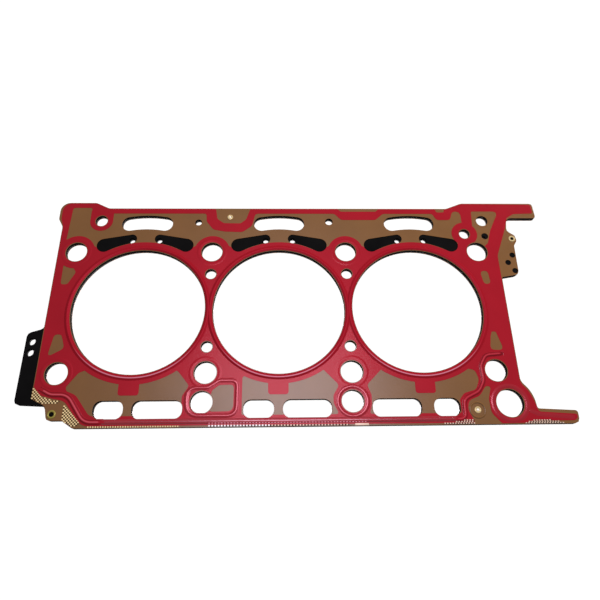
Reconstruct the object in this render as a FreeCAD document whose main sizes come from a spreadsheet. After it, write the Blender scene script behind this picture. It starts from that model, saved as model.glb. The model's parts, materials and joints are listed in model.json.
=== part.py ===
import FreeCAD, Part

import math
import os

import Sketcher

Vector = FreeCAD.Vector

# Driving dimensions of the gasket in millimetres
DIMENSIONS = [
    ("bore_radius", 42.5),
    ("bore_land", 5.0),
    ("carrier_thickness", 1.6),
    ("sheet_thickness", 0.25),
    ("coat_thickness", 0.08),
    ("left_margin", 12.2),
    ("right_margin", 14.0),
    ("top_margin", 32.8),
    ("bottom_margin", 31.7),
    ("shoulder_rise", 4.4),
    ("arm_reach", 31.8),
    ("arm_width", 11.8),
    ("lower_arm_width", 7.8),
    ("code_tab_width", 9.8),
    ("code_tab_length", 44.6),
    ("code_tab_foot", 17.5),
    ("code_tab_fillet", 3.0),
    ("code_hole_inset", 3.7),
    ("code_hole_drop", 5.5),
    ("code_hole_spacing", 7.0),
    ("flange_foot", 14.3),
    ("code_hole_radius", 2.3),
    ("bolt_hole_radius", 6.95),
    ("bolt_row_inset", 1.1),
    ("bridge_hole_radius", 3.55),
    ("bridge_hole_row", 25.0),
    ("drain_hole_radius", 6.75),
    ("feed_hole_radius", 8.5),
    ("arched_slot_width", 10.8),
    ("arched_slot_reach", 17.3),
    ("arched_slot_gap", 16.3),
    ("lower_slot_width", 11.0),
    ("lower_slot_gap", 15.7),
    ("slot_corner_radius", 4.8),
    ("window_gap", 6.4),
    ("window_end_radius", 5.0),
    ("window_end_turn", 30.5),
    ("window_tip_radius", 3.3),
    ("window_tip_turn", 10.2),
    ("metering_hole_radius", 1.95),
    ("metering_hole_offset", 9.1),
    ("metering_hole_gap", 7.5),
    ("blind_hole_radius", 1.95),
    ("arm_hole_radius", 2.4),
    ("bleed_hole_radius", 1.2),
    ("eyelet_bore_radius", 1.15),
    ("eyelet_shank_radius", 1.6),
    ("eyelet_flange_radius", 2.5),
    ("eyelet_flange_thickness", 0.25),
    ("flat_cut_radius", 3.2),
    ("bore_rim", 0.6),
    ("coat_rim", 0.4),
    ("bore_coat_width", 6.2),
    ("bolt_coat_width", 5.1),
    ("port_coat_width", 5.3),
    ("tongue_coat_width", 3.65),
    ("tab_coat_width", 12.4),
    ("tab_coat_reach", 12.7),
    ("bead_height", 0.42),
    ("bead_width", 2.6),
    ("bore_bead_offset", 2.0),
    ("edge_bead_height", 0.36),
    ("edge_bead_width", 1.6),
]

doc = FreeCAD.newDocument("head_gasket")
sizes = doc.addObject("Spreadsheet::Sheet", "sizes")
for row, (alias, number) in enumerate(DIMENSIONS, start=1):
    sizes.set(f"A{row}", str(number))
    sizes.setAlias(f"A{row}", alias)
doc.recompute()


def size(alias):
    """A driving dimension as a number."""
    return float(sizes.get(alias))


# Heights in the stack, as formulas over the sheet
CARRIER_TOP = "sizes.carrier_thickness"
SHEET_TOP = CARRIER_TOP + " + sizes.sheet_thickness"
COAT_TOP = SHEET_TOP + " + sizes.coat_thickness"

# The plan follows the bores: one pitch apart, with bolts beside every land
PITCH = 2 * size("bore_radius") + size("bore_land")
END_BORE = PITCH
END_BOLT = 1.5 * PITCH
LAND = 0.5 * PITCH
BOLT_ROW = size("bore_radius") - size("bolt_row_inset")
ARM_ROOT = size("top_margin") + size("shoulder_rise") - size("arm_width")


def up(offset):
    """A height in the plan, counted from the far wall of the bores."""
    return size("bore_radius") + offset


def down(offset):
    """A height in the plan, counted from the near wall of the bores."""
    return -size("bore_radius") - offset


def left(offset):
    """A place along the gasket, counted from its left edge."""
    return -END_BOLT - size("left_margin") + offset


def right(offset):
    """A place along the gasket, counted from its right edge."""
    return END_BOLT + size("right_margin") + offset


def origin_plane(body, role):
    return next(plane for plane in body.Origin.OriginFeatures if plane.Role == role)


def new_body(name):
    body = doc.addObject("PartDesign::Body", name)
    body.Label = name
    return body


def plan_sketch(body, name, height):
    """A sketch in the plan, at a height that follows the sheet."""
    sketch = body.newObject("Sketcher::SketchObject", name)
    sketch.AttachmentSupport = [(origin_plane(body, "XY_Plane"), "")]
    sketch.MapMode = "FlatFace"
    sketch.setExpression(".AttachmentOffset.Base.z", height)
    return sketch


def pad(body, sketch, name, length):
    feature = body.newObject("PartDesign::Pad", name)
    feature.Profile = sketch
    feature.setExpression("Length", length)
    return feature


def cut_down(body, sketch, name, depth):
    """A pocket from the sketch downwards."""
    feature = body.newObject("PartDesign::Pocket", name)
    feature.Profile = sketch
    feature.setExpression("Length", depth)
    return feature


def draw_circle(sketch, x, y, radius):
    """A circle held at its place, with a radius that follows the sheet."""
    here = Vector(x, y, 0)
    circle = sketch.addGeometry(Part.Circle(here, Vector(0, 0, 1), 1.0))
    sketch.addConstraint(Sketcher.Constraint("DistanceX", -1, 1, circle, 3, x))
    sketch.addConstraint(Sketcher.Constraint("DistanceY", -1, 1, circle, 3, y))
    tied = sketch.addConstraint(Sketcher.Constraint("Radius", circle, 1.0))
    sketch.setExpression(f"Constraints[{tied}]", radius)


def draw_outline(sketch, corners):
    """A closed outline through corners (x, y, radius), rounded as far as their sides allow.

    Small corners get two flats in place of an arc, which keeps the mesh light."""
    turns = []
    for i, (x, y, radius) in enumerate(corners):
        here = Vector(x, y, 0)
        if radius == 0:
            turns.append((here, None, here))
            continue
        back = Vector(*corners[i - 1][:2], 0) - here
        ahead = Vector(*corners[(i + 1) % len(corners)][:2], 0) - here
        half = back.getAngle(ahead) / 2
        room = 0.49 * min(back.Length, ahead.Length)
        cut = min(radius / math.tan(half), room)
        radius = cut * math.tan(half)
        back.normalize()
        ahead.normalize()
        inward = (back + ahead).normalize()
        middle = here + inward * (radius / math.sin(half) - radius)
        turns.append((here + back * cut, middle, here + ahead * cut))
    for i, (first, middle, last) in enumerate(turns):
        if middle and corners[i][2] > size("flat_cut_radius"):
            sketch.addGeometry(Part.Arc(first, middle, last))
        elif middle:
            sketch.addGeometry(Part.LineSegment(first, middle))
            sketch.addGeometry(Part.LineSegment(middle, last))
        sketch.addGeometry(Part.LineSegment(last, turns[(i + 1) % len(turns)][0]))


def polar(centre_x, centre_y, radius, angle):
    """A point at an angle in degrees from +Y, turning towards +X."""
    turn = math.radians(angle)
    return Vector(centre_x + radius * math.sin(turn), centre_y + radius * math.cos(turn), 0)


def draw_arched_slot(sketch, bore_x):
    """A slot bent round the bore, with round ends."""
    end_radius = size("arched_slot_width") / 2
    middle_radius = size("bore_radius") + size("arched_slot_gap") + end_radius
    reach = size("arched_slot_reach") - end_radius
    turn = math.degrees(math.asin(reach / middle_radius))
    inner = middle_radius - end_radius
    outer = middle_radius + end_radius
    for radius in (inner, outer):
        ends = [polar(bore_x, 0, radius, angle) for angle in (-turn, 0, turn)]
        sketch.addGeometry(Part.Arc(*ends))
    for side in (-1, 1):
        tip = polar(bore_x, 0, middle_radius, side * turn)
        tip = polar(tip.x, tip.y, end_radius, side * (90 + turn))
        start = polar(bore_x, 0, inner, side * turn)
        finish = polar(bore_x, 0, outer, side * turn)
        sketch.addGeometry(Part.Arc(start, tip, finish))


def draw_window(sketch, bore_x, side):
    """A bean-shaped window beside the bore's top, blunt outside and slim towards the middle."""
    blunt = size("window_end_radius")
    slim = size("window_tip_radius")
    wall = size("bore_radius") + size("window_gap")
    blunt_turn = size("window_end_turn")
    slim_turn = size("window_tip_turn")
    blunt_at = polar(0, 0, wall + blunt, blunt_turn)
    slim_at = polar(0, 0, wall + slim, slim_turn)
    between = blunt_at - slim_at
    lean = math.degrees(math.atan2(between.y, between.x))
    rise = math.degrees(math.asin((blunt - slim) / between.Length))
    top_angle = -lean - rise
    outer_top = polar(blunt_at.x, blunt_at.y, blunt, top_angle)
    inner_top = polar(slim_at.x, slim_at.y, slim, top_angle)
    outer_low = polar(0, 0, wall, blunt_turn)
    inner_low = polar(0, 0, wall, slim_turn)
    lower_middle = polar(0, 0, wall, (blunt_turn + slim_turn) / 2)
    outer_end = polar(blunt_at.x, blunt_at.y, blunt, (top_angle + 180 + blunt_turn) / 2)
    inner_end = polar(slim_at.x, slim_at.y, slim, (top_angle + slim_turn - 180) / 2)

    def place(point):
        return Vector(bore_x + side * point.x, point.y, 0)

    sketch.addGeometry(Part.Arc(place(inner_low), place(lower_middle), place(outer_low)))
    sketch.addGeometry(Part.Arc(place(outer_low), place(outer_end), place(outer_top)))
    sketch.addGeometry(Part.LineSegment(place(outer_top), place(inner_top)))
    sketch.addGeometry(Part.Arc(place(inner_top), place(inner_end), place(inner_low)))


BORES = (-END_BORE, 0.0, END_BORE)
BOLTS = [(x, y) for x in (-END_BOLT, -LAND, LAND, END_BOLT) for y in (-BOLT_ROW, BOLT_ROW)]
DRAINS = [(-LAND - 1.4, down(17.1)), (LAND - 0.3, down(17.1))]
FEED = (END_BOLT + 5.4, down(19.2))
EYELETS = [
    (left(13.4), down(23.5)),
    (-LAND + 11.2, up(25.8)),
    (right(11.6), up(8.9)),
    (END_BOLT - 15.1, down(23.2)),
]
TONGUE_PORT = (left(25.8), up(22.8), 4.05)
ARM_PORT = (END_BOLT - 7.0, up(12.7), 3.6)
PLAIN_HOLES = [
    TONGUE_PORT,
    (-LAND - 10.3, up(21.7), 2.3),
    (LAND - 10.5, up(22.3), 2.6),
    ARM_PORT,
    (END_BOLT + 6.7, up(23.1), 4.0),
]
ARM_HOLE = (END_BOLT + 7.0, up(10.9))
BLEED_HOLE = (END_BOLT + 6.2, up(9.8))
BLIND_HOLES = [(right(9.8), up(-3.7)), (right(6.0), up(-9.3)), (right(9.8), up(-15.4))]


def lower_slots():
    """Both ends of each coolant slot along the near edge."""
    return [
        (-END_BORE - 20.3, -END_BORE - 2.4),
        (-END_BORE + 2.5, -LAND - 12.5),
        (-21.4, -2.9),
        (2.5, LAND - 13.0),
        (LAND + 11.5, END_BORE - 3.7),
        (END_BORE + 3.7, END_BORE + 19.7),
    ]


def draw_lower_slots(sketch, rim):
    """The coolant slots along the near edge, widened by a rim."""
    near = down(size("lower_slot_gap")) + rim
    deep = near - size("lower_slot_width") - 2 * rim
    corner = size("slot_corner_radius") + rim
    for first, last in lower_slots():
        start = first - rim
        end = last + rim
        ends = ((start, deep), (end, deep), (end, near), (start, near))
        draw_outline(sketch, [(x, y, corner) for x, y in ends])


def cut_ports(body, top, thickness):
    """The openings that every steel layer shares: bores, bolts, coolant, oil and eyelets."""
    depth = thickness + " + 1"
    bore = plan_sketch(body, body.Name + "_bore", top)
    draw_circle(bore, -END_BORE, 0.0, "sizes.bore_radius")
    first_bore = cut_down(body, bore, body.Name + "_bore_cut", depth)
    row = body.newObject("PartDesign::LinearPattern", body.Name + "_bore_row")
    row.Originals = [first_bore]
    row.Direction = (origin_plane(body, "X_Axis"), [""])
    row.setExpression("Length", "4 * sizes.bore_radius + 2 * sizes.bore_land")
    row.Occurrences = len(BORES)
    body.Tip = row

    holes = plan_sketch(body, body.Name + "_holes", top)
    for x, y in BOLTS:
        draw_circle(holes, x, y, "sizes.bolt_hole_radius")
    for x in (-LAND, LAND):
        for y in (-size("bridge_hole_row"), size("bridge_hole_row")):
            draw_circle(holes, x, y, "sizes.bridge_hole_radius")
    for x, y in DRAINS:
        draw_circle(holes, x, y, "sizes.drain_hole_radius")
    draw_circle(holes, *FEED, "sizes.feed_hole_radius")
    for x, y, radius in PLAIN_HOLES:
        draw_circle(holes, x, y, f"{radius} mm")
    for x, y in EYELETS:
        draw_circle(holes, x, y, "sizes.eyelet_shank_radius")
    cut_down(body, holes, body.Name + "_holes_cut", depth)

    slots = plan_sketch(body, body.Name + "_slots", top)
    for bore_x in BORES:
        draw_arched_slot(slots, bore_x)
    draw_lower_slots(slots, 0.0)
    cut_down(body, slots, body.Name + "_slots_cut", depth)


def edge_corners():
    """The gasket's rim as both steel layers share it, from the left flange to the left shoulder."""
    head = up(size("top_margin") + size("shoulder_rise"))
    edge = up(size("top_margin"))
    foot = down(size("bottom_margin"))
    end = size("arm_reach")
    root = up(ARM_ROOT)
    ledge = foot + size("lower_arm_width")
    return [
        (left(8.7), down(18.5), 3.0),
        (left(10.7), down(27.1), 2.2),
        (left(19.5), down(27.1), 2.0),
        (left(26.5), foot, 1.5),
        (right(end), foot, 3.0),
        (right(end), ledge, 1.5),
        (right(7.6), ledge + 1.3, 1.2),
        (right(6.9), down(16.6), 15.0),
        (right(4.5), down(10.7), 15.0),
        (right(0), down(5.8), 6.0),
        (right(0), up(-20.2), 1.2),
        (right(12.0), up(-18.1), 3.0),
        (right(12.3), up(3.6), 1.5),
        (right(14.7), up(7.4), 2.0),
        (right(14.0), up(11.4), 2.0),
        (right(8.8), up(15.2), 3.0),
        (right(10.3), root, 4.0),
        (right(end - 0.5), root, 1.5),
        (right(end - 1.3), head, 2.0),
        (END_BOLT - 6.5, head, 6.0),
        (END_BOLT - 17.5, edge, 6.0),
        (-END_BOLT + 17.5, edge, 5.0),
        (-END_BOLT + 8.5, head, 5.0),
        (left(-3.3), head, 10.0),
        (left(-3.3), up(24.2), 4.0),
        (left(0), up(18.3), 4.0),
    ]


def make_carrier():
    """The stiff black plate under the sheet, with the tab that carries the thickness code."""
    body = new_body("carrier_plate")
    outline = plan_sketch(body, "carrier_outline", "0")
    tab_foot = down(size("code_tab_foot"))
    tab_head = tab_foot + size("code_tab_length")
    tab_edge = left(-size("code_tab_width"))
    fillet = size("code_tab_fillet")
    tab = [(left(0), tab_head + fillet, 2.5), (tab_edge, tab_head, fillet), (tab_edge, tab_foot, 2.5)]
    draw_outline(outline, tab + edge_corners())
    pad(body, outline, "carrier_pad", "sizes.carrier_thickness")
    cut_ports(body, CARRIER_TOP, "sizes.carrier_thickness")

    extras = plan_sketch(body, "carrier_metering", CARRIER_TOP)
    for bore_x in BORES:
        for side in (-1, 1):
            hole_x = bore_x + side * size("metering_hole_offset")
            draw_circle(extras, hole_x, up(size("metering_hole_gap")), "sizes.metering_hole_radius")
    code_x = tab_edge + size("code_hole_inset")
    for i in range(2):
        drop = size("code_hole_drop") + i * size("code_hole_spacing")
        draw_circle(extras, code_x, tab_head - drop, "sizes.code_hole_radius")
    draw_circle(extras, *BLEED_HOLE, "sizes.bleed_hole_radius")
    cut_down(body, extras, "carrier_metering_cut", "sizes.carrier_thickness + 1")
    return body


def make_sheet():
    """The thin bronze-coated spring sheet that faces the cylinder head."""
    body = new_body("top_sheet")
    outline = plan_sketch(body, "sheet_outline", CARRIER_TOP)
    flange = [(left(0), down(size("flange_foot")), 2.5)]
    draw_outline(outline, flange + edge_corners())
    pad(body, outline, "sheet_pad", "sizes.sheet_thickness")
    cut_ports(body, SHEET_TOP, "sizes.sheet_thickness")

    windows = plan_sketch(body, "sheet_windows", SHEET_TOP)
    for bore_x in BORES:
        for side in (-1, 1):
            draw_window(windows, bore_x, side)
    for x, y in BLIND_HOLES:
        draw_circle(windows, x, y, "sizes.blind_hole_radius")
    draw_circle(windows, *ARM_HOLE, "sizes.arm_hole_radius")
    cut_down(body, windows, "sheet_windows_cut", "sizes.sheet_thickness")
    return body


def coat_corners():
    """The printed coat's outer edge, drawn back from the rim and from the bare flange, tab and arms."""
    rim = size("coat_rim")
    edge = up(size("top_margin")) - rim
    head = up(size("top_margin") + size("shoulder_rise")) - rim
    foot = down(size("bottom_margin")) + rim
    end = size("arm_reach") - 2 * rim
    root = up(ARM_ROOT)
    ledge = down(size("bottom_margin")) + size("lower_arm_width")
    return [
        (left(rim), down(7.0), 0.0),
        (left(5.0), down(12.2), 3.0),
        (left(13.0), down(14.3), 6.0),
        (left(19.7), down(15.6), 8.0),
        (left(31.5), foot + 0.7, 9.0),
        (END_BOLT - 17.4, foot + 0.5, 1.0),
        (END_BOLT - 21.1, down(23.0), 6.0),
        (END_BOLT - 19.7, down(17.3), 4.5),
        (END_BOLT - 12.7, down(14.7), 6.0),
        (END_BOLT - 8.4, down(8.9), 1.5),
        (END_BOLT - 5.0, down(8.7), 1.5),
        (END_BOLT - 7.4, down(16.5), 6.0),
        (END_BOLT - 7.0, down(25.0), 6.0),
        (END_BOLT - 1.6, foot, 1.5),
        (right(1.0), foot + 0.2, 0.0),
        (right(8.0), foot + 1.4, 4.0),
        (right(end - 2.0), foot + 1.4, 2.0),
        (right(end), foot + 3.0, 1.5),
        (right(end), ledge - 2.2, 1.0),
        (right(8.0), ledge - 0.6, 1.5),
        (right(6.0), down(16.9), 14.0),
        (right(3.7), down(11.4), 14.0),
        (right(-rim), down(6.8), 6.0),
        (right(-rim), up(-4.0), 8.0),
        (right(8.4), up(17.7), 1.0),
        (right(10.6), root, 2.0),
        (right(16.0), root + 3.3, 4.0),
        (right(end - 1.3), root + 3.7, 1.0),
        (right(end - 1.6), head - 0.5, 1.5),
        (END_BOLT - 6.3, head, 6.0),
        (END_BOLT - 17.3, edge, 6.0),
        (END_BOLT - 18.8, edge, 0.5),
        (END_BOLT - 19.5, up(29.9), 1.0),
        (END_BOLT - 24.5, up(29.9), 1.0),
        (END_BOLT - 25.5, edge, 0.5),
        (LAND + 24.5, edge, 1.0),
        (LAND + 22.5, up(30.4), 1.0),
        (LAND - 2.0, up(30.4), 1.0),
        (LAND - 4.0, edge, 1.0),
        (-LAND + 25.0, edge, 1.0),
        (-LAND + 22.2, up(24.0), 3.0),
        (-LAND + 18.5, up(20.9), 2.0),
        (-LAND + 7.0, up(21.1), 3.0),
        (-LAND + 2.4, up(24.5), 3.0),
        (-LAND + 1.2, edge, 1.0),
        (-END_BOLT + 17.7, edge, 5.0),
        (-END_BOLT + 8.7, head, 5.0),
        (left(-1.9), head, 9.0),
        (left(-1.7), up(24.6), 4.0),
        (left(rim), up(18.3), 4.0),
    ]


def upper_field():
    """The long bare field between the far edge's print and the bores."""
    crown = up(28.7)
    corners = [
        (left(5.2), up(33.2), 1.5),
        (left(18.2), up(33.2), 1.0),
        (left(18.6), crown, 0.0),
        (-LAND - 5.2, crown, 1.5),
        (-LAND - 4.8, up(22.5), 3.0),
        (-LAND, up(16.1), 4.0),
        (-LAND + 8.0, up(14.5), 8.0),
        (-LAND + 20.0, up(14.1), 5.0),
        (-LAND + 26.4, up(19.0), 5.0),
        (-LAND + 28.6, crown, 2.0),
        (LAND - 6.5, crown, 3.0),
        (LAND - 2.0, up(23.7), 3.0),
        (LAND + 22.0, up(23.7), 3.0),
        (LAND + 27.5, crown, 3.0),
        (END_BOLT - 27.7, crown, 2.0),
        (END_BOLT - 25.2, up(23.7), 2.5),
        (END_BOLT - 15.6, up(23.7), 2.5),
        (END_BOLT - 13.5, up(30.6), 2.8),
        (END_BOLT - 7.8, up(30.6), 2.8),
        (END_BOLT - 7.7, up(15.5), 0.0),
        (END_BOLT - 12.0, up(6.0), 0.0),
    ]
    for bore_x in reversed(BORES):
        for x, y in ((29, 0.5), (20, 0.5), (0, 3.5), (-20, 0.5), (-29, 0.5), (-34, 3.5)):
            corners.append((bore_x + x, up(y), 0.0))
        if bore_x > -END_BORE:
            corners.append((bore_x - LAND, up(1.5), 0.0))
            corners.append((bore_x - PITCH + 34, up(3.5), 0.0))
    corners += [(-END_BOLT, up(1.5), 0.0), (left(4.2), up(8.0), 1.5)]
    return corners


def bare_fields():
    """Every field that the print leaves bare, as lists of corners."""
    low = down(24.9)
    far_corner = [
        (END_BOLT, up(30.7), 1.0),
        (right(5.2), up(30.7), 2.0),
        (right(-2.6), up(15.3), 6.0),
        (right(-5.6), up(5.5), 2.5),
        (right(-8.2), up(3.2), 1.0),
        (END_BOLT, up(1.5), 0.0),
        (END_BOLT - 3.0, up(6.0), 0.0),
        (END_BOLT - 2.0, up(9.0), 0.0),
        (END_BOLT - 0.6, up(20.0), 1.0),
    ]
    lower_left = [
        (-END_BORE - 31.5, down(-1.4), 3.0),
        (-END_BORE - 38.0, down(7.5), 1.5),
        (-END_BORE - 37.0, down(9.8), 1.5),
        (-END_BORE - 31.3, down(12.1), 8.0),
        (-END_BORE - 21.6, low, 5.0),
        (-LAND - 12.8, low, 1.0),
        (-LAND - 13.2, down(13.5), 3.0),
        (-LAND - 9.3, down(7.0), 2.0),
        (-LAND - 16.5, down(-1.9), 2.5),
        (-END_BORE + 22.0, down(-4.5), 0.0),
        (-END_BORE - 24.0, down(-4.5), 0.0),
    ]
    pocket = [
        (-LAND + 2.6, down(22.8), 2.0),
        (-LAND + 4.6, down(10.0), 3.0),
        (-LAND + 9.0, down(6.8), 2.0),
        (-LAND + 17.8, down(6.5), 2.0),
        (-LAND + 17.8, down(22.5), 3.0),
    ]
    lower_middle = [
        (-LAND + 22.8, down(2.0), 1.5),
        (-LAND + 22.8, low, 1.0),
        (LAND - 8.8, low, 1.0),
        (LAND - 12.0, down(18.5), 3.0),
        (LAND - 12.0, down(13.5), 4.0),
        (LAND - 8.3, down(7.3), 2.0),
        (LAND - 17.3, down(-2.1), 2.5),
        (24.0, down(-4.5), 0.0),
        (-18.0, down(-0.5), 0.0),
    ]
    lower_right = [
        (LAND + 17.8, down(-1.9), 2.5),
        (LAND + 8.8, down(7.3), 2.0),
        (LAND + 11.2, down(13.5), 3.0),
        (LAND + 11.0, down(19.5), 3.0),
        (LAND + 9.5, low, 1.0),
        (END_BORE + 20.0, low, 1.0),
        (END_BORE + 19.9, down(16.6), 2.0),
        (END_BORE + 23.0, down(12.9), 4.0),
        (END_BORE + 30.6, down(10.8), 4.0),
        (END_BORE + 33.3, down(4.6), 5.0),
        (END_BORE + 31.6, down(-1.4), 3.5),
        (END_BORE + 27.3, down(-2.3), 2.5),
        (END_BORE + 24.0, down(-4.5), 0.0),
        (END_BORE - 24.0, down(-4.5), 0.0),
    ]
    left_spots = [
        [(left(5.2), 32.6, 1.5), (left(9.8), 32.3, 2.0), (left(14.2), 26.6, 2.0),
         (left(9.8), 17.9, 2.0), (left(5.4), 17.7, 1.5)],
        [(left(7.2), -16.3, 2.0), (left(11.7), -16.6, 2.0), (left(14.6), -25.5, 2.5),
         (left(4.9), -31.0, 1.2)],
    ]
    right_spots = [
        [(right(-14.4), 26.9, 2.0), (right(-9.1), 26.9, 2.0), (right(-8.2), 17.2, 2.0),
         (right(-12.8), 17.5, 2.0)],
        [(right(-13.6), -16.0, 1.0), (right(-10.4), -16.0, 1.0), (right(-7.0), -28.4, 2.0),
         (right(-15.7), -28.0, 2.0)],
    ]
    fields = [upper_field(), far_corner, lower_left, pocket, lower_middle, lower_right]
    return fields + left_spots + right_spots


def print_patches(body):
    """Print laid back over the fields: rings round the bores and bolts, a tongue and short tabs."""
    rings = plan_sketch(body, "bore_print", SHEET_TOP)
    for bore_x in BORES:
        draw_circle(rings, bore_x, 0.0, "sizes.bore_radius + sizes.bore_coat_width")
    pad(body, rings, "bore_print_pad", "sizes.coat_thickness")
    collars = plan_sketch(body, "collar_print", SHEET_TOP)
    for x in (-END_BOLT, -LAND, LAND):
        draw_circle(collars, x, BOLT_ROW, "sizes.bolt_hole_radius + sizes.bolt_coat_width")
    port_x, port_y, port_hole = ARM_PORT
    draw_circle(collars, port_x, port_y, f"{port_hole} mm + sizes.port_coat_width * 1 mm")
    tongue_x, tongue_y, tongue_hole = TONGUE_PORT
    reach = tongue_hole + size("tongue_coat_width")
    tongue = [
        (tongue_x - reach, up(31.0), 0.0),
        (tongue_x - reach, tongue_y - reach, reach),
        (tongue_x + reach, tongue_y - reach, reach),
        (tongue_x + reach, up(31.0), 0.0),
    ]
    draw_outline(collars, tongue)
    pad(body, collars, "collar_print_pad", "sizes.coat_thickness")
    tabs = plan_sketch(body, "tab_print", SHEET_TOP)
    half = size("tab_coat_width") / 2
    reach = size("tab_coat_reach")
    for bore_x in (-END_BORE - 0.4, -0.3, END_BORE - 0.5):
        sides = ((-half, 0.0, 0.0), (-half, reach, 1.5), (half, reach, 1.5), (half, 0.0, 0.0))
        draw_outline(tabs, [(bore_x + x, down(y), radius) for x, y, radius in sides])
    pad(body, tabs, "tab_print_pad", "sizes.coat_thickness")


def bead_ring(body, name, x, y, radius):
    """A raised bead round a port, turned from a low triangle."""
    sketch = body.newObject("Sketcher::SketchObject", name)
    sketch.AttachmentSupport = [(origin_plane(body, "XZ_Plane"), "")]
    sketch.MapMode = "FlatFace"
    sketch.AttachmentOffset = FreeCAD.Placement(Vector(x, 0, -y), FreeCAD.Rotation())
    sketch.setExpression(".AttachmentOffset.Base.y", COAT_TOP)
    foot = size("bead_width") / 2
    section = [(-foot, 0), (foot, 0), (0, size("bead_height"))]
    points = [Vector(radius + across, rise, 0) for across, rise in section]
    for i, start in enumerate(points):
        sketch.addGeometry(Part.LineSegment(start, points[(i + 1) % len(points)]))
    ring = body.newObject("PartDesign::Revolution", name + "_turned")
    ring.Profile = sketch
    ring.ReferenceAxis = (sketch, ["V_Axis"])
    ring.Angle = 360
    return ring


def edge_bead(body):
    """The bead that runs from the left flange along the near edge and up round the last lower field."""
    sketch = plan_sketch(body, "edge_bead", COAT_TOP)
    foot = down(28.3)
    route = [
        (left(4.0), down(8.0), 0.0),
        (left(11.0), down(11.7), 7.0),
        (left(21.2), down(11.9), 9.0),
        (left(32.6), foot, 9.0),
        (END_BOLT - 23.0, foot, 3.5),
        (END_BOLT - 22.8, down(16.6), 4.0),
        (END_BOLT - 12.6, down(11.5), 4.0),
    ]
    half = size("edge_bead_width") / 2
    beside = []
    for i, (x, y, radius) in enumerate(route):
        here = Vector(x, y, 0)
        before = Vector(*route[max(i - 1, 0)][:2], 0)
        after = Vector(*route[min(i + 1, len(route) - 1)][:2], 0)
        arriving = (here - before) if i else (after - here)
        leaving = (after - here) if i < len(route) - 1 else arriving
        arriving.normalize()
        leaving.normalize()
        normal = Vector(-arriving.y - leaving.y, arriving.x + leaving.x, 0).normalize()
        reach = half / normal.dot(Vector(-leaving.y, leaving.x, 0))
        bend = arriving.x * leaving.y - arriving.y * leaving.x
        beside.append((here, normal * reach, radius, bend))
    one_side = []
    other_side = []
    for here, shift, radius, bend in beside:
        tighter = max(radius - half, 0.0)
        wider = radius + half if radius else 0.0
        near_side = here + shift
        far_side = here - shift
        one_side.append((near_side.x, near_side.y, tighter if bend > 0 else wider))
        other_side.append((far_side.x, far_side.y, wider if bend > 0 else tighter))
    draw_outline(sketch, one_side + other_side[::-1])
    pad(body, sketch, "edge_bead_pad", "sizes.edge_bead_height")


def make_coat():
    """The red elastomer print on the sheet, with raised beads round the bores and along the near edge."""
    body = new_body("red_coat")
    outline = plan_sketch(body, "coat_outline", SHEET_TOP)
    draw_outline(outline, coat_corners())
    pad(body, outline, "coat_pad", "sizes.coat_thickness")
    fields = plan_sketch(body, "coat_fields", COAT_TOP)
    for corners in bare_fields():
        draw_outline(fields, corners)
    cut_down(body, fields, "coat_fields_cut", "sizes.coat_thickness")
    print_patches(body)

    bead = size("bore_radius") + size("bore_bead_offset")
    first_ring = bead_ring(body, "bore_bead", -END_BORE, 0.0, bead)
    row = body.newObject("PartDesign::LinearPattern", "bore_bead_row")
    row.Originals = [first_ring]
    row.Direction = (origin_plane(body, "X_Axis"), [""])
    row.setExpression("Length", "4 * sizes.bore_radius + 2 * sizes.bore_land")
    row.Occurrences = len(BORES)
    body.Tip = row
    edge_bead(body)

    holes = plan_sketch(body, "coat_holes", COAT_TOP)
    for bore_x in BORES:
        draw_circle(holes, bore_x, 0.0, "sizes.bore_radius + sizes.bore_rim")
    for x, y in BOLTS:
        draw_circle(holes, x, y, "sizes.bolt_hole_radius + sizes.coat_rim")
    for x in (-LAND, LAND):
        for y in (-size("bridge_hole_row"), size("bridge_hole_row")):
            draw_circle(holes, x, y, "sizes.bridge_hole_radius + sizes.coat_rim")
    for x, y in DRAINS:
        draw_circle(holes, x, y, "sizes.drain_hole_radius + sizes.coat_rim")
    draw_circle(holes, *FEED, "sizes.feed_hole_radius + sizes.coat_rim")
    for x, y, radius in (TONGUE_PORT, ARM_PORT):
        draw_circle(holes, x, y, f"{radius} mm + sizes.coat_rim * 1 mm")
    for bore_x in BORES:
        for side in (-1, 1):
            draw_window(holes, bore_x, side)
    draw_lower_slots(holes, size("coat_rim") / 2)
    cut_down(body, holes, "coat_holes_cut", "sizes.coat_thickness")
    return body


def make_eyelets():
    """Four brass eyelets that hold the sheet on the carrier, all alike."""
    body = new_body("layer_eyelets")
    body.AllowCompound = True
    shanks = plan_sketch(body, "eyelet_shanks", "0")
    flanges = plan_sketch(body, "eyelet_flanges", SHEET_TOP)
    for x, y in EYELETS:
        draw_circle(shanks, x, y, "sizes.eyelet_shank_radius")
        draw_circle(shanks, x, y, "sizes.eyelet_bore_radius")
        draw_circle(flanges, x, y, "sizes.eyelet_flange_radius")
        draw_circle(flanges, x, y, "sizes.eyelet_bore_radius")
    pad(body, shanks, "eyelet_shank_pad", SHEET_TOP)
    pad(body, flanges, "eyelet_flange_pad", "sizes.eyelet_flange_thickness")
    return body


pieces = [make_carrier(), make_sheet(), make_coat(), make_eyelets()]
doc.recompute()

for thing in doc.Objects:
    if "Invalid" in thing.State or "Error" in thing.State:
        raise RuntimeError(f"{thing.Name} did not build: {thing.State}")
for piece in pieces:
    if piece.Shape.isNull() or not piece.Shape.isValid():
        raise RuntimeError(f"{piece.Label} has no sound shape")

os.makedirs("parts", exist_ok=True)
for piece in pieces:
    piece.Shape.exportStep(f"parts/{piece.Label}.step")
    box = piece.Shape.BoundBox
    print(piece.Label, len(piece.Shape.Solids), "solids", round(piece.Shape.Volume, 1), "mm3",
          [round(v, 2) for v in (box.XMin, box.YMin, box.ZMin, box.XMax, box.YMax, box.ZMax)])
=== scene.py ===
import json
import math

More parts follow.
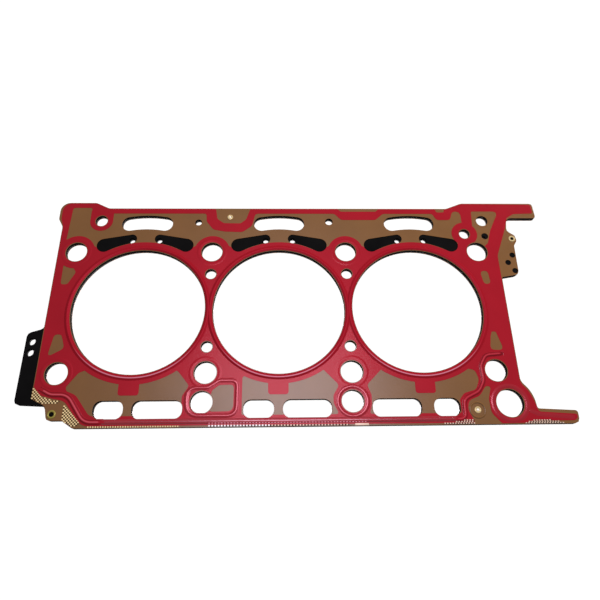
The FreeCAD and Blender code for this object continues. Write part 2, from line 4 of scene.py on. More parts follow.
import bmesh
import bpy
from mathutils import Matrix, Vector


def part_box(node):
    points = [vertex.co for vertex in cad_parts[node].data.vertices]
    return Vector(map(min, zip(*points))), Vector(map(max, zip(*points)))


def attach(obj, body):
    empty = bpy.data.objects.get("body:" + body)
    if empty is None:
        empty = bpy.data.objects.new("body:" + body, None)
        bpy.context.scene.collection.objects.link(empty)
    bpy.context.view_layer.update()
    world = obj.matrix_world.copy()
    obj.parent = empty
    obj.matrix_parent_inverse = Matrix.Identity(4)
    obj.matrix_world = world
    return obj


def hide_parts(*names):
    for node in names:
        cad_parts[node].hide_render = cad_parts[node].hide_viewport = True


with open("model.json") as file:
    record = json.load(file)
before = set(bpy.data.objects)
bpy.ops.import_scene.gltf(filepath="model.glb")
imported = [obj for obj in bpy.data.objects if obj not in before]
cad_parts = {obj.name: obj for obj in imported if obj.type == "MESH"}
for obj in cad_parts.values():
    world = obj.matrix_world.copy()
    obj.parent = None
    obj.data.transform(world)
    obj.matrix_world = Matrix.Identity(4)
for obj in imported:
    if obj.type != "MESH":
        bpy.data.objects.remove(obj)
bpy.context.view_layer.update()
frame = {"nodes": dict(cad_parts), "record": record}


# Carrier plate
# The stiff steel layer that rests on the block, black all over and seen in the windows, on the
# left tab and on every cut edge. Its shape is the solid's own, so only the finish is given here.
BLACK_COAT = (0.0062, 0.006, 0.0062)
CLOUD_SCALE = 60.0
GRAIN_SCALE = 2500.0
GRAIN_DEPTH = 0.00002
GRAIN_STRENGTH = 0.15
GLOSS_SPREAD = 0.15


def coated_steel(name, colour, roughness, metallic, grain, shine=0.5):
    """A coated sheet: an even colour with a faint grain in colour, gloss and height."""
    material = bpy.data.materials.new(name)
    material.use_nodes = True
    nodes = material.node_tree.nodes
    links = material.node_tree.links
    shader = nodes["Principled BSDF"]
    shader.inputs["Metallic"].default_value = metallic
    shader.inputs["Specular IOR Level"].default_value = shine
    place = nodes.new("ShaderNodeTexCoord")
    cloud = nodes.new("ShaderNodeTexNoise")
    cloud.inputs["Scale"].default_value = CLOUD_SCALE
    cloud.inputs["Detail"].default_value = 3.0
    links.new(place.outputs["Object"], cloud.inputs["Vector"])
    tint = nodes.new("ShaderNodeValToRGB")
    tint.color_ramp.elements[0].position = 0.3
    tint.color_ramp.elements[1].position = 0.7
    tint.color_ramp.elements[0].color = (*(c * (1 - grain) for c in colour), 1)
    tint.color_ramp.elements[1].color = (*(c * (1 + grain) for c in colour), 1)
    links.new(cloud.outputs["Fac"], tint.inputs["Fac"])
    links.new(tint.outputs["Color"], shader.inputs["Base Color"])
    fine = nodes.new("ShaderNodeTexNoise")
    fine.inputs["Scale"].default_value = GRAIN_SCALE
    fine.inputs["Detail"].default_value = 2.0
    links.new(place.outputs["Object"], fine.inputs["Vector"])
    gloss = nodes.new("ShaderNodeMapRange")
    gloss.inputs["To Min"].default_value = roughness * (1 - GLOSS_SPREAD)
    gloss.inputs["To Max"].default_value = roughness * (1 + GLOSS_SPREAD)
    links.new(fine.outputs["Fac"], gloss.inputs["Value"])
    links.new(gloss.outputs["Result"], shader.inputs["Roughness"])
    bump = nodes.new("ShaderNodeBump")
    bump.inputs["Strength"].default_value = GRAIN_STRENGTH
    bump.inputs["Distance"].default_value = GRAIN_DEPTH
    links.new(fine.outputs["Fac"], bump.inputs["Height"])
    links.new(bump.outputs["Normal"], shader.inputs["Normal"])
    return material


def dress(name, material):
    """Gives a solid its finish."""
    slots = frame["nodes"][name].data.materials
    slots.clear()
    slots.append(material)


black_steel = coated_steel("black_steel", BLACK_COAT, 0.6, metallic=0.0, grain=0.2, shine=0.0)
dress("carrier_plate", black_steel)


# Top sheet
# Thin spring steel with a bronze-brown coat, lying on the carrier. The coat is satin, so it
# takes a broad shine where the light is overhead.
BRONZE_COAT = (0.19, 0.083, 0.021)
bronze_steel = coated_steel("bronze_steel", BRONZE_COAT, 0.3, metallic=0.0, grain=0.05, shine=0.8)
dress("top_sheet", bronze_steel)
sheet_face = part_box("top_sheet")[1][2]


# Red print
# An elastomer skin printed on the sheet round every port. It is soft and slightly glossy, and
# its raised beads take the squeeze between block and head.
RED_PRINT = (0.395, 0.0075, 0.017)
SHEEN_TINT = (1.0, 0.45, 0.7)
SKIN_ROUGHNESS = 0.18
PRINT_METALLIC = 0.25
COAT_THICKNESS = 0.00008


def print_finish(name, roughness, shine, skin, colour=RED_PRINT, tint=SHEEN_TINT):
    """The soft print: a tinted sheen under a thin clear skin."""
    material = coated_steel(name, colour, roughness, PRINT_METALLIC, grain=0.04, shine=shine)
    shader = material.node_tree.nodes["Principled BSDF"]
    shader.inputs["Specular Tint"].default_value = (*tint, 1)
    shader.inputs["Coat Weight"].default_value = skin
    shader.inputs["Coat Roughness"].default_value = SKIN_ROUGHNESS
    return material


red_print = print_finish("red_print", 0.4, shine=0.3, skin=0.3)
dress("red_coat", red_print)
coat_face = sheet_face + COAT_THICKNESS


# Bore beads
# The main seal: a raised ring of print round each bore, close to its edge. It rises and falls
# softly, like pressed steel. Its crest carries a painted highlight on the near half, and its flanks
# a painted shade.
BEAD_HALF = 0.0017
BEAD_HEIGHT = 0.00046
BORE_BEAD_OFFSET = 0.002
# Painted shade for the bore beads' flanks, and a painted highlight for their crest.
BORE_FLANK_SHADE = (0.35, 0.006, 0.014)
BORE_CREST_HIGHLIGHT = (0.7, 0.24, 0.33)
BORE_FAR_SHARE = 0.78
HIGHLIGHT_FROM = -0.018
HIGHLIGHT_FULL = -0.040
FOOT_SHARE = 0.05
FLANK_SHARE = 0.35
SLOPE_SHARE = 0.8
CREST_SHARE = 0.97
BELL_STEPS = 6
RING_STEPS = 96
FOOT = 0.00001
MM = 0.001
mounts = {mount["name"]: mount for mount in frame["record"]["mounts"]}


def print_with_painted_light(name, crest_highlight, flank_shade, skin, far_share=1.0):
    """The print on a ridge, its colour led by the height: a painted highlight on the crest and
    painted shade on the flanks. A far share under 1 keeps the painted highlight to the near half of
    the bores."""
    material = print_finish(name, 0.45, shine=0.35, skin=skin)
    nodes = material.node_tree.nodes
    links = material.node_tree.links
    place = nodes.new("ShaderNodeTexCoord")
    parts = nodes.new("ShaderNodeSeparateXYZ")
    links.new(place.outputs["Object"], parts.inputs["Vector"])
    climb = nodes.new("ShaderNodeMapRange")
    climb.inputs["From Min"].default_value = coat_face
    climb.inputs["From Max"].default_value = coat_face + BEAD_HEIGHT
    links.new(parts.outputs["Z"], climb.inputs["Value"])
    near = nodes.new("ShaderNodeMapRange")
    near.inputs["From Min"].default_value = HIGHLIGHT_FROM
    near.inputs["From Max"].default_value = HIGHLIGHT_FULL
    near.inputs["To Min"].default_value = far_share
    near.inputs["To Max"].default_value = 1.0
    links.new(parts.outputs["Y"], near.inputs["Value"])
    stage = nodes.new("ShaderNodeMath")
    stage.operation = "MULTIPLY"
    links.new(climb.outputs["Result"], stage.inputs[0])
    links.new(near.outputs["Result"], stage.inputs[1])
    colours = nodes.new("ShaderNodeValToRGB")
    ramp = colours.color_ramp.elements
    ramp[0].position = FOOT_SHARE
    ramp[0].color = (*RED_PRINT, 1)
    ramp[1].position = CREST_SHARE
    ramp[1].color = (*crest_highlight, 1)
    for share, colour in ((FLANK_SHARE, flank_shade), (SLOPE_SHARE, RED_PRINT)):
        ramp.new(share).color = (*colour, 1)
    links.new(stage.outputs["Value"], colours.inputs["Fac"])
    links.new(colours.outputs["Color"], nodes["Principled BSDF"].inputs["Base Color"])
    return material


def bell_section(bm, half, height):
    """The closed section of a ridge, a bell across X with its foot at height 0."""
    section = []
    for step in range(-BELL_STEPS, BELL_STEPS + 1):
        share = step / BELL_STEPS
        rise = height * (0.5 + 0.5 * math.cos(math.pi * share))
        section.append(bm.verts.new((half * share, 0, rise)))
    edges = [bm.edges.new(pair) for pair in zip(section, section[1:] + section[:1])]
    return section, edges


def add_ring(bm, x, y, radius, half, height):
    """A ridge round a port, spun from its section, with its foot just under the print's face."""
    section, edges = bell_section(bm, half, height)
    bmesh.ops.translate(bm, verts=section, vec=(x + radius, y, coat_face - FOOT))
    bmesh.ops.spin(bm, geom=section + edges, cent=(x, y, 0), axis=(0, 0, 1), angle=2 * math.pi,
                   steps=RING_STEPS, use_merge=True)


def finished(name, bm, material, smooth=True):
    """Makes a mesh a piece of its own on the gasket, with its finish and its faces outwards."""
    bmesh.ops.remove_doubles(bm, verts=bm.verts, dist=1e-7)
    bmesh.ops.recalc_face_normals(bm, faces=bm.faces)
    if bm.calc_volume(signed=True) < 0:
        bmesh.ops.reverse_faces(bm, faces=bm.faces)
    mesh = bpy.data.meshes.new(name)
    bm.to_mesh(mesh)
    bm.free()
    mesh.materials.append(material)
    if smooth:
        mesh.shade_smooth()
    piece = bpy.data.objects.new(name, mesh)
    bpy.context.scene.collection.objects.link(piece)
    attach(piece, "root")
    return piece


# The bore beads' print: a painted highlight on the near half of the crest, painted shade on the
# flanks.
bore_print = print_with_painted_light("bore_print", BORE_CREST_HIGHLIGHT, BORE_FLANK_SHADE, skin=0.0, far_share=BORE_FAR_SHARE)
bm = bmesh.new()
for bore in ("left_bore", "centre_bore", "right_bore"):
    bore_x, bore_y, _ = mounts[bore]["pos_m"]
    bore_radius = mounts[bore]["dims"]["r_mm"] * MM
    add_ring(bm, bore_x, bore_y, bore_radius + BORE_BEAD_OFFSET, BEAD_HALF, BEAD_HEIGHT)
finished("bore_beads", bm, bore_print)


# Port and bolt rings
# Lower, glossier beads printed round the right oil drain and the feed port, and faint ones round
# all the bolt holes but the two at the right end.
RING_HALF = 0.0016
RING_HEIGHT = 0.00026
FEED_RING_HEIGHT = 0.00018
LOW_HEIGHT = 0.00009
DRAIN_RING_RADIUS = 0.0090
FEED_RING_RADIUS = 0.0105
BOLT_RING_RADIUS = 0.0090
bead_print = print_finish("bead_print", 0.25, shine=0.8, skin=1.0)

bm = bmesh.new()
drain_x, drain_y, _ = mounts["right_oil_drain"]["pos_m"]
feed_x, feed_y, _ = mounts["feed_port"]["pos_m"]
add_ring(bm, drain_x, drain_y, DRAIN_RING_RADIUS, RING_HALF, RING_HEIGHT)
add_ring(bm, feed_x, feed_y, FEED_RING_RADIUS, RING_HALF, FEED_RING_HEIGHT)
finished("port_beads", bm, bead_print)

bm = bmesh.new()
end_bolt = mounts["outer_bolts"]["dims"]["spacing_x_mm"] * MM / 2
middle_bolt = mounts["inner_bolts"]["dims"]["spacing_x_mm"] * MM / 2
bolt_row = mounts["outer_bolts"]["dims"]["spacing_y_mm"] * MM / 2
for x in (-end_bolt, -middle_bolt, middle_bolt):
    for y in (-bolt_row, bolt_row):
        add_ring(bm, x, y, BOLT_RING_RADIUS, RING_HALF, LOW_HEIGHT)
finished("bolt_beads", bm, red_print)


# Near edge bead
# One bead from the left flange round the corner, along the near edge and up past the lower right
# bolt hole. At the turns its crest carries a painted highlight and its flanks a painted shade, and
# the long run shines violet.
# Painted shade for the flanks, and painted highlights for the crests at the corner and the turn.
BEAD_FLANK_SHADE = (0.15, 0.002, 0.006)
CORNER_CREST_HIGHLIGHT = (0.66, 0.1, 0.13)
TURN_CREST_HIGHLIGHT = (0.52, 0.04, 0.06)
EDGE_TINT = (0.5, 0.7, 1.0)
EDGE_SKIN_IOR = 1.9
CORNER_HALF = 0.0019
NEAR_LINE = -0.0708
SPACING = 0.001
CORNER_STEPS = 8
LONGEST_CUT = 0.49
FADE = 0.003
CORNER_ROUTE = [
    (-0.1432, -0.0505, 0.0),
    (-0.1362, -0.0542, 0.0070),
    (-0.1260, -0.0544, 0.0090),
    (-0.1146, NEAR_LINE, 0.0090),
    (-0.1030, NEAR_LINE, 0.0),
]
EDGE_ROUTE = [
    (-0.1050, NEAR_LINE, 0.0),
    (0.1080, NEAR_LINE, 0.0),
]
TURN_ROUTE = [
    (0.1045, NEAR_LINE, 0.0),
    (0.1120, NEAR_LINE, 0.0035),
    (0.1122, -0.0591, 0.0060),
    (0.1224, -0.0542, 0.0080),
    (0.1262, -0.0475, 0.0080),
    (0.1256, -0.0380, 0.0070),
    (0.1296, -0.0314, 0.0050),
    (0.1416, -0.0304, 0.0),
]


def rounded(route, closed):
    """Points about a millimetre apart along a route of (x, y, corner radius)."""
    points = []
    for i, (x, y, radius) in enumerate(route):
        here = Vector((x, y, 0))
        if radius == 0:
            points.append(here)
            continue
        back = Vector((*route[i - 1][:2], 0)) - here
        ahead = Vector((*route[(i + 1) % len(route)][:2], 0)) - here
        half_turn = back.angle(ahead) / 2
        shorter = min(back.length, ahead.length)
        cut = min(radius / math.tan(half_turn), LONGEST_CUT * shorter)
        start = here + back.normalized() * cut
        end = here + ahead.normalized() * cut
        for k in range(CORNER_STEPS + 1):
            share = k / CORNER_STEPS
            points.append(start.lerp(here, share).lerp(here.lerp(end, share), share))
    if closed:
        points.append(points[0])
    line = [points[0]]
    for point in points[1:]:
        last = line[-1]
        steps = max(1, round((point - last).length / SPACING))
        line += [last.lerp(point, (k + 1) / steps) for k in range(steps)]
    return line[:-1] if closed else line


def bend(bm, line, closed):
    """Lays a straight ridge on its route: its sections stand 1 m apart along Y, and each goes to
    its point of the line. An open ridge sinks away over its last few millimetres."""
    count = len(line)
    runs = [0.0]
    for last, here in zip(line, line[1:]):
        runs.append(runs[-1] + (here - last).length)
    for vert in bm.verts:
        i = round(vert.co.y) % count
        before = line[i - 1] if closed or i > 0 else line[i]
        after = line[(i + 1) % count] if closed or i + 1 < count else line[i]
        ahead = (after - before).normalized()
        aside = Vector((-ahead.y, ahead.x, 0))
        rise = 1.0 if closed else min(1.0, runs[i] / FADE, (runs[-1] - runs[i]) / FADE)
        height = coat_face - FOOT + vert.co.z * rise
        vert.co = line[i] + aside * vert.co.x + Vector((0, 0, height))


def bead_along(name, route, half, height, material, closed=False):
    """A ridge of its own along a route."""
    line = rounded(route, closed)
    steps = len(line) if closed else len(line) - 1
    bm = bmesh.new()
    section, edges = bell_section(bm, half, height)
    bmesh.ops.spin(bm, geom=section + edges, axis=(0, 0, 1), dvec=(0, 1, 0), angle=0, steps=steps)
    bend(bm, line, closed)
    if not closed:
        bmesh.ops.holes_fill(bm, edges=[edge for edge in bm.edges if edge.is_boundary])
    return finished(name, bm, material)


# The corner and turn beads carry a painted highlight on the crest and painted shade on the flanks.
corner_print_painted_light = print_with_painted_light("corner_print_painted_light", CORNER_CREST_HIGHLIGHT, BEAD_FLANK_SHADE, skin=0.35)
turn_print_painted_light = print_with_painted_light("turn_print_painted_light", TURN_CREST_HIGHLIGHT, BEAD_FLANK_SHADE, skin=0.35)
edge_print = print_finish("edge_print", 0.25, shine=1.0, skin=1.0, tint=EDGE_TINT)
edge_print.node_tree.nodes["Principled BSDF"].inputs["Coat IOR"].default_value = EDGE_SKIN_IOR
bead_along("corner_bead", CORNER_ROUTE, CORNER_HALF, BEAD_HEIGHT, corner_print_painted_light)
bead_along("edge_bead", EDGE_ROUTE, BEAD_HALF, BEAD_HEIGHT, edge_print)
bead_along("turn_bead", TURN_ROUTE, BEAD_HALF, BEAD_HEIGHT, turn_print_painted_light)


# Pocket and arm beads
# A closed bead goes round the left oil drain and the bare pocket beside it. A faint one runs out
# along the lower arm.
POCKET_ROUTE = [
    (-0.0554, -0.0508, 0.0085),
    (-0.0554, -0.0676, 0.0085),
    (-0.0252, -0.0676, 0.0060),
    (-0.0252, -0.0464, 0.0040),
    (-0.0362, -0.0464, 0.0040),
    (-0.0430, -0.0508, 0.0040),
]
ARM_ROUTE = [
    (0.1508, -0.0660, 0.0),
    (0.1570, -0.0686, 0.0100),
    (0.1680, -0.0696, 0.0100),
    (0.1785, -0.0706, 0.0),
]
bead_along("pocket_bead", POCKET_ROUTE, RING_HALF, RING_HEIGHT, bead_print, closed=True)
bead_along("arm_bead", ARM_ROUTE, RING_HALF, LOW_HEIGHT, bead_print)


# Bronze cells
# Small square cells stamped in the bare sheet on the left flange, at the corner and in a close
# row along the near edge. The raised ones carry a painted highlight in pale bronze, and the pits
# between them a painted shade in black steel.
# Pale bronze painted as the highlight on the raised cells.
BRONZE_PAINTED_HIGHLIGHT = (1.0, 0.78, 0.4)
CELL_FINISH = {"roughness": 0.35, "metallic": 0.1, "grain": 0.1, "shine": 1.0}
CELL_PITCH = 0.0019
CELL_ROW = 0.00095
CELL_FOOT = 0.7
CELL_TOP = 0.45
CELL_SUNK = 0.1
PATCH_CELL = (0.00105, 0.00085, 0.00024)
PATCH_PIT = (0.00075, 0.0007, 0.00004)
FLANGE_PATCH = [
    (-0.1468, -0.0504),
    (-0.1424, -0.0549),
    (-0.1370, -0.0572),
    (-0.1304, -0.0582),
    (-0.1320, -0.0602),
    (-0.1412, -0.0596),
    (-0.1468, -0.0566),
]
CORNER_PATCH = [
    (-0.1280, -0.0602),
    (-0.1245, -0.0630),
    (-0.1208, -0.0673),
    (-0.1168, -0.0712),
    (-0.1182, -0.0736),
    (-0.1217, -0.0734),
    (-0.1270, -0.0694),
    (-0.1274, -0.0650),
]
BRONZE_ROW = -0.0736
BRONZE_RUN = (-0.1115, -0.0580)
BRONZE_PITCH = 0.00145
BRONZE_CELL = (0.0007, 0.0011, 0.0002)
PIT_RUN = (-0.04007, 0.0420)
EDGE_PITCH = 0.00185
EDGE_PIT = (0.0007, 0.0010, 0.00004)


def add_cell(bm, x, y, size, base):
    """One cell of a size (wide, deep, high), sunk a little into the face that it stands on."""
    place = Matrix.Translation((x, y, base + (0.5 - CELL_SUNK) * size[2]))
    shape = place @ Matrix.Diagonal((*size, 1)) @ Matrix.Rotation(math.pi / 4, 4, "Z")
    bmesh.ops.create_cone(bm, cap_ends=True, segments=4, radius1=CELL_FOOT, radius2=CELL_TOP,
                          depth=1.0, matrix=shape)


def inside(x, y, corners):
    """True if the point lies within the outline."""
    odd = False
    for (x1, y1), (x2, y2) in zip(corners, corners[1:] + corners[:1]):
        if (y1 > y) != (y2 > y) and x < x1 + (x2 - x1) * (y - y1) / (y2 - y1):
            odd = not odd
    return odd


def add_patch(raised, pits, corners):
    """Staggered rows of raised cells within an outline, with a pit after each."""
    low_x, high_x = min(x for x, y in corners), max(x for x, y in corners)
    low_y, high_y = min(y for x, y in corners), max(y for x, y in corners)
    for row in range(int((high_y - low_y) / CELL_ROW) + 1):
        for step in range(int((high_x - low_x) / CELL_PITCH) + 1):
            x = low_x + (step + 0.5 * (row % 2)) * CELL_PITCH
            y = low_y + row * CELL_ROW
            if inside(x, y, corners):
                add_cell(raised, x, y, PATCH_CELL, sheet_face)
            if inside(x + CELL_PITCH / 2, y, corners):
                add_cell(pits, x + CELL_PITCH / 2, y, PATCH_PIT, sheet_face)


def add_row(bm, run, y, pitch, size, base):
    """A straight row of cells over a run from one x to another."""
    start, end = run
    for step in range(int((end - start) / pitch) + 1):
        add_cell(bm, start + step * pitch, y, size, base)


bronze_painted_highlight = coated_steel("bronze_painted_highlight", BRONZE_PAINTED_HIGHLIGHT, **CELL_FINISH)
raised = bmesh.new()
pits = bmesh.new()
add_patch(raised, pits, FLANGE_PATCH)
add_patch(raised, pits, CORNER_PATCH)
add_row(raised, BRONZE_RUN, BRONZE_ROW, BRONZE_PITCH, BRONZE_CELL, sheet_face)
add_row(pits, PIT_RUN, BRONZE_ROW, EDGE_PITCH, EDGE_PIT, sheet_face)
finished("bare_cells", raised, bronze_painted_highlight, smooth=False)
# The black steel in the pits is painted shade.
finished("cell_pits_painted_shade", pits, black_steel, smooth=False)


# Edge cells
# The row in the middle of the near edge, and the cells at its right end and on the lower arm,
# where they break through the print in short rows that step inwards. The cells are bare steel with
# a painted highlight, whitest in the middle of the row, and the pits between them hold painted
# shade.
# Bare steel under a painted highlight: whitest in the middle of the row, dimmer in the rest.
BARE_STEEL_HIGHLIGHT = (1.0, 0.93, 0.95)
BARE_STEEL_AND_HIGHLIGHT = (0.85, 0.62, 0.48)
EDGE_ROW = -0.0735
STEEL_RUN = (-0.0410, -0.0050)
STEEL_CELL = (0.0012, 0.0012, 0.00025)
BARED_RUN = (-0.0039, 0.0420)
BARED_CELL = (0.0008, 0.0010, 0.0002)
END_PITCH = 0.0016
END_CELL = (0.0010, 0.0008, 0.00025)
END_PIT = (0.0006, 0.0007, 0.0001)
END_ROWS = [
    (-0.0735, (0.0990, 0.1170)),
    (-0.0726, (0.1060, 0.1170)),
    (-0.0717, (0.1110, 0.1170)),
]
ARM_CELL = (0.0010, 0.0007, 0.00025)
ARM_PIT = (0.0006, 0.0006, 0.0001)
ARM_ROWS = [
    (-0.0737, (0.1480, 0.1710)),
    (-0.0729, (0.1500, 0.1680)),
    (-0.0721, (0.1530, 0.1640)),
]
bare_steel_highlight = coated_steel("bare_steel_highlight", BARE_STEEL_HIGHLIGHT, **CELL_FINISH)
bare_steel_and_highlight = coated_steel("bare_steel_and_highlight", BARE_STEEL_AND_HIGHLIGHT, **CELL_FINISH)
highlight_cells = bmesh.new()
bared = bmesh.new()
pits = bmesh.new()
add_row(highlight_cells, STEEL_RUN, EDGE_ROW, EDGE_PITCH, STEEL_CELL, sheet_face)
add_row(bared, BARED_RUN, EDGE_ROW, EDGE_PITCH, BARED_CELL, sheet_face)
for rows, cell, pit in ((END_ROWS, END_CELL, END_PIT), (ARM_ROWS, ARM_CELL, ARM_PIT)):
    for y, (first, last) in rows:
        add_row(bared, (first, last), y, END_PITCH, cell, coat_face)
        add_row(pits, (first + END_PITCH / 2, last), y, END_PITCH, pit, coat_face)
finished("edge_cells", highlight_cells, bare_steel_highlight, smooth=False)
finished("bared_cells", bared, bare_steel_and_highlight, smooth=False)
# The pits between the cells are black steel painted as shade.
finished("edge_pits_painted_shade", pits, black_steel, smooth=False)


# Sheen cells
# A second row just inside the first, in pale pink print that is a painted sheen, and a short strip
# of the edge at the row's right end that is rubbed bare, brightened with a painted highlight.
# Pale pink painted as the sheen on the print.
PINK_PAINTED_SHEEN = (0.72, 0.22, 0.3)
SHEEN_ROW = -0.0719
SHEEN_RUN = (-0.0410, 0.0520)
SHEEN_CELL = (0.0011, 0.0007, 0.00022)
STRIP_SIZE = (0.0082, 0.0013, 0.0001)
STRIP_MIDDLE = 0.0493
STRIP_ROUND = 0.00004
print_painted_sheen = print_finish("print_painted_sheen", 0.35, shine=0.6, skin=0.5, colour=PINK_PAINTED_SHEEN)
sheen_cells = bmesh.new()
add_row(sheen_cells, SHEEN_RUN, SHEEN_ROW, EDGE_PITCH, SHEEN_CELL, coat_face)
finished("cells_painted_sheen", sheen_cells, print_painted_sheen, smooth=False)

bm = bmesh.new()
strip = bmesh.ops.create_cube(bm, size=1.0)["verts"]
strip_place = (STRIP_MIDDLE, EDGE_ROW, sheet_face + STRIP_SIZE[2] / 2)
bmesh.ops.scale(bm, verts=strip, vec=STRIP_SIZE)
bmesh.ops.translate(bm, verts=strip, vec=strip_place)
bmesh.ops.bevel(bm, geom=bm.edges[:], offset=STRIP_ROUND, segments=2, profile=0.5,
                affect="EDGES", material=-1)
finished("bared_edge", bm, bare_steel_and_highlight)


# Eyelets
# Small brass eyelets rolled over the sheet. They hold the layers together until the head is
# bolted down. The left one is a darker brass. It and the upper right one have a middle of black
# steel painted as the shade in their holes, and the other two a pale middle painted as a highlight.
DULL_BRASS = (0.36, 0.3, 0.06)
BRIGHT_BRASS = (0.78, 0.6, 0.3)
PALE_BRASS_HIGHLIGHT = (1.0, 0.93, 0.8)
LEFT_EYELET = (-0.1338, -0.0660, 0.0020)
FAR_EYELET = (-0.0338, 0.0683, 0.0014)
RIGHT_EYELET = (0.1606, 0.0514, 0.0017)
NEAR_EYELET = (0.1199, -0.0657, 0.0015)
ROLL_HALF = 0.0006
ROLL_RISE = 0.00026
ROLL_LIFT = 0.00003
ROLL_SIDES = 12
ROLL_STEPS = 40
MIDDLE_STEPS = 32
MIDDLE_TAPER = 0.8
DARK_DEPTH = 0.0003
BRIGHT_RISE = 0.0001
SEAT_RADIUS = 0.0046
SEAT_HALF = 0.0006
SEAT_HEIGHT = 0.0002
dull_brass = coated_steel("dull_brass", DULL_BRASS, 0.3, metallic=0.4, grain=0.06)
bright_brass = coated_steel("bright_brass", BRIGHT_BRASS, 0.25, metallic=0.4, grain=0.06)
pale_brass_highlight = coated_steel("pale_brass_highlight", PALE_BRASS_HIGHLIGHT, 0.3, metallic=0.1, grain=0.06, shine=1.0)


def add_roll(bm, x, y, radius):
    """The rolled rim of one eyelet."""
    rim = bmesh.ops.create_circle(bm, segments=ROLL_SIDES, radius=1.0)["verts"]
    bmesh.ops.scale(bm, verts=rim, vec=(ROLL_HALF, ROLL_RISE, 1))
    bmesh.ops.rotate(bm, verts=rim, cent=(0, 0, 0), matrix=Matrix.Rotation(math.pi / 2, 3, "X"))
    bmesh.ops.translate(bm, verts=rim, vec=(x + radius, y, sheet_face + ROLL_LIFT))
    edges = list({edge for vert in rim for edge in vert.link_edges})
    bmesh.ops.spin(bm, geom=rim + edges, cent=(x, y, 0), axis=(0, 0, 1), angle=2 * math.pi,
                   steps=ROLL_STEPS, use_merge=True)


def add_middle(bm, x, y, radius, top):
    """The blind middle of one eyelet, a short tapered plug up to a height."""
    place = Matrix.Translation((x, y, top / 2))
    bmesh.ops.create_cone(bm, cap_ends=True, segments=MIDDLE_STEPS, radius1=radius,
                          radius2=MIDDLE_TAPER * radius, depth=top, matrix=place)


bm = bmesh.new()
for eyelet in (LEFT_EYELET, FAR_EYELET, RIGHT_EYELET, NEAR_EYELET):
    add_roll(bm, *eyelet)
eyelet_rolls = finished("eyelet_rolls", bm, bright_brass)
eyelet_rolls.data.materials.append(dull_brass)
left_end = LEFT_EYELET[0] + 2 * LEFT_EYELET[2]
for face in eyelet_rolls.data.polygons:
    face.material_index = int(face.center.x < left_end)
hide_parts("layer_eyelets")

# Painted shade: black plugs where the eyelet holes are dark.
bm = bmesh.new()
add_middle(bm, *LEFT_EYELET, sheet_face - DARK_DEPTH)
add_middle(bm, *RIGHT_EYELET, sheet_face - DARK_DEPTH)
finished("eyelet_floors_painted_shade", bm, black_steel)

# Painted highlight: pale plugs for the bright middles.
bm = bmesh.new()
add_middle(bm, *FAR_EYELET, sheet_face + BRIGHT_RISE)
add_middle(bm, *NEAR_EYELET, sheet_face + BRIGHT_RISE)
finished("eyelet_floors_painted_highlight", bm, pale_brass_highlight)

bm = bmesh.new()
add_ring(bm, *NEAR_EYELET[:2], SEAT_RADIUS, SEAT_HALF, SEAT_HEIGHT)
finished("eyelet_seat", bm, bronze_steel)


# Bench
# The gasket lies on a plain white floor. Its polish mirrors the foot of each wall for the camera
# alone, so the floor throws no more light on the object than plain white would.
FLOOR_HALF = 4.0
FLOOR_DROP = 0.00002
FLOOR_WHITE = (0.9, 0.9, 0.9, 1)
FLOOR_POLISH = (5.0, 5.0, 5.0, 1)
POLISH_SHARE = 0.93
POLISH_ROUGHNESS = 0.06
white_floor = bpy.data.materials.new("white_floor")
white_floor.use_nodes = True
nodes = white_floor.node_tree.nodes
links = white_floor.node_tree.links
nodes.remove(nodes["Principled BSDF"])
plain = nodes.new("ShaderNodeBsdfDiffuse")
plain.inputs["Color"].default_value = FLOOR_WHITE
polish = nodes.new("ShaderNodeBsdfGlossy")
polish.inputs["Color"].default_value = FLOOR_POLISH
polish.inputs["Roughness"].default_value = POLISH_ROUGHNESS
path = nodes.new("ShaderNodeLightPath")
share = nodes.new("ShaderNodeMath")
share.operation = "MULTIPLY"
share.inputs[1].default_value = POLISH_SHARE
links.new(path.outputs["Is Camera Ray"], share.inputs[0])
blend = nodes.new("ShaderNodeMixShader")
links.new(share.outputs["Value"], blend.inputs["Fac"])
links.new(plain.outputs["BSDF"], blend.inputs[1])
links.new(polish.outputs["BSDF"], blend.inputs[2])
links.new(blend.outputs["Shader"], nodes["Material Output"].inputs["Surface"])

bm = bmesh.new()
bmesh.ops.create_grid(bm, x_segments=1, y_segments=1, size=FLOOR_HALF)
bmesh.ops.translate(bm, verts=bm.verts, vec=(0, 0, -FLOOR_DROP))
floor_mesh = bpy.data.meshes.new("floor")
bm.to_mesh(floor_mesh)
bm.free()
floor_mesh.materials.append(white_floor)
floor = bpy.data.objects.new("floor", floor_mesh)
bpy.context.scene.collection.objects.link(floor)


# Light
# A broad lamp overhead puts the soft sheen on the near edge, and lights the floor by a twin that
# leaves no glare in its polish. One behind on the right fills in, and the room is evenly pale.
OVERHEAD = (0.01, 0.16, 1.0)
OVERHEAD_WATTS = 2.6
OVERHEAD_SIZE = 0.45
SHEEN_COLOUR = (1.0, 0.88, 1.0)
BEHIND = (0.6, 0.7, 0.6)
BEHIND_WATTS = 12.5
BEHIND_SIZE = 0.5
ROOM_LIGHT = 0.22
ROOM_SHOWN = 1.0


def lamp(name, place, watts, size):
    """A round lamp that faces the gasket's middle."""
    data = bpy.data.lights.new(name, "AREA")
    data.energy = watts
    data.shape = "DISK"
    data.size = size
    made = bpy.data.objects.new(name, data)
    made.location = place
    made.rotation_euler = (-Vector(place)).to_track_quat("-Z", "Y").to_euler()
    bpy.context.scene.collection.objects.link(made)
    return made


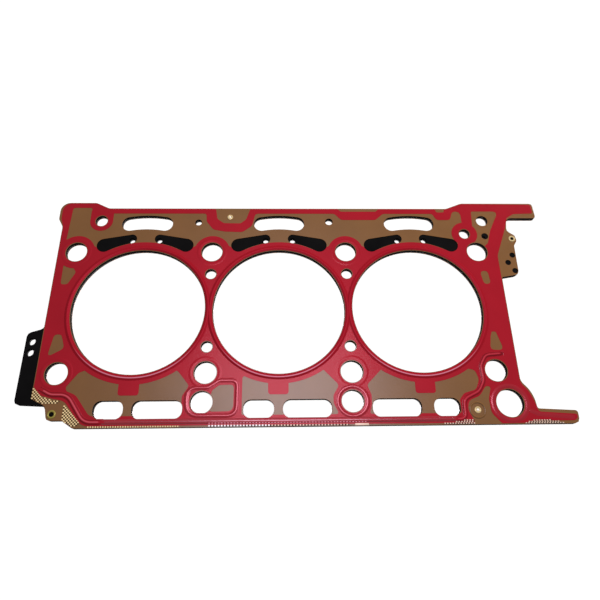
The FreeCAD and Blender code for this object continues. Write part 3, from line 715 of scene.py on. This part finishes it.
def reach_of(light, thing, state):
    """Keeps one thing in a lamp's reach, or out of it."""
    group = bpy.data.collections.new(light.name + "_reach")
    group.objects.link(thing)
    group.collection_objects[0].light_linking.link_state = state
    light.light_linking.receiver_collection = group


sheen_lamp = lamp("overhead", OVERHEAD, OVERHEAD_WATTS, OVERHEAD_SIZE)
sheen_lamp.data.color = SHEEN_COLOUR
reach_of(sheen_lamp, floor, "EXCLUDE")
floor_lamp = lamp("overhead_on_floor", OVERHEAD, OVERHEAD_WATTS, OVERHEAD_SIZE)
reach_of(floor_lamp, floor, "INCLUDE")
floor_lamp.visible_glossy = False
back_lamp = lamp("behind", BEHIND, BEHIND_WATTS, BEHIND_SIZE)
back_lamp.visible_glossy = False

world = bpy.data.worlds.new("studio")
world.use_nodes = True
nodes = world.node_tree.nodes
links = world.node_tree.links
nodes["Background"].inputs["Color"].default_value = (1, 1, 1, 1)
path = nodes.new("ShaderNodeLightPath")
brightness = nodes.new("ShaderNodeMapRange")
brightness.inputs["To Min"].default_value = ROOM_LIGHT
brightness.inputs["To Max"].default_value = ROOM_SHOWN
links.new(path.outputs["Is Camera Ray"], brightness.inputs["Value"])
links.new(brightness.outputs["Result"], nodes["Background"].inputs["Strength"])
bpy.context.scene.world = world


# Camera
# It looks down on the gasket from in front, with the height and tilt worked out from the bores,
# bolt holes and slots. Turns are in degrees, and the sensor and lens in millimetres.
SENSOR_WIDTH = 36.0
LENS = 31.07
NEAREST_SEEN = 0.01
CAMERA_PLACE = (0.00394, -0.12118, 0.31289)
CAMERA_TURNS = (22.292, -1.454, -0.811)
camera = bpy.data.objects.new("camera", bpy.data.cameras.new("camera"))
camera.data.sensor_width = SENSOR_WIDTH
camera.data.lens = LENS
camera.data.clip_start = NEAREST_SEEN
camera.location = CAMERA_PLACE
camera.rotation_euler = [math.radians(turn) for turn in CAMERA_TURNS]
bpy.context.scene.collection.objects.link(camera)
bpy.context.scene.camera = camera
bpy.context.scene.view_settings.view_transform = "Standard"
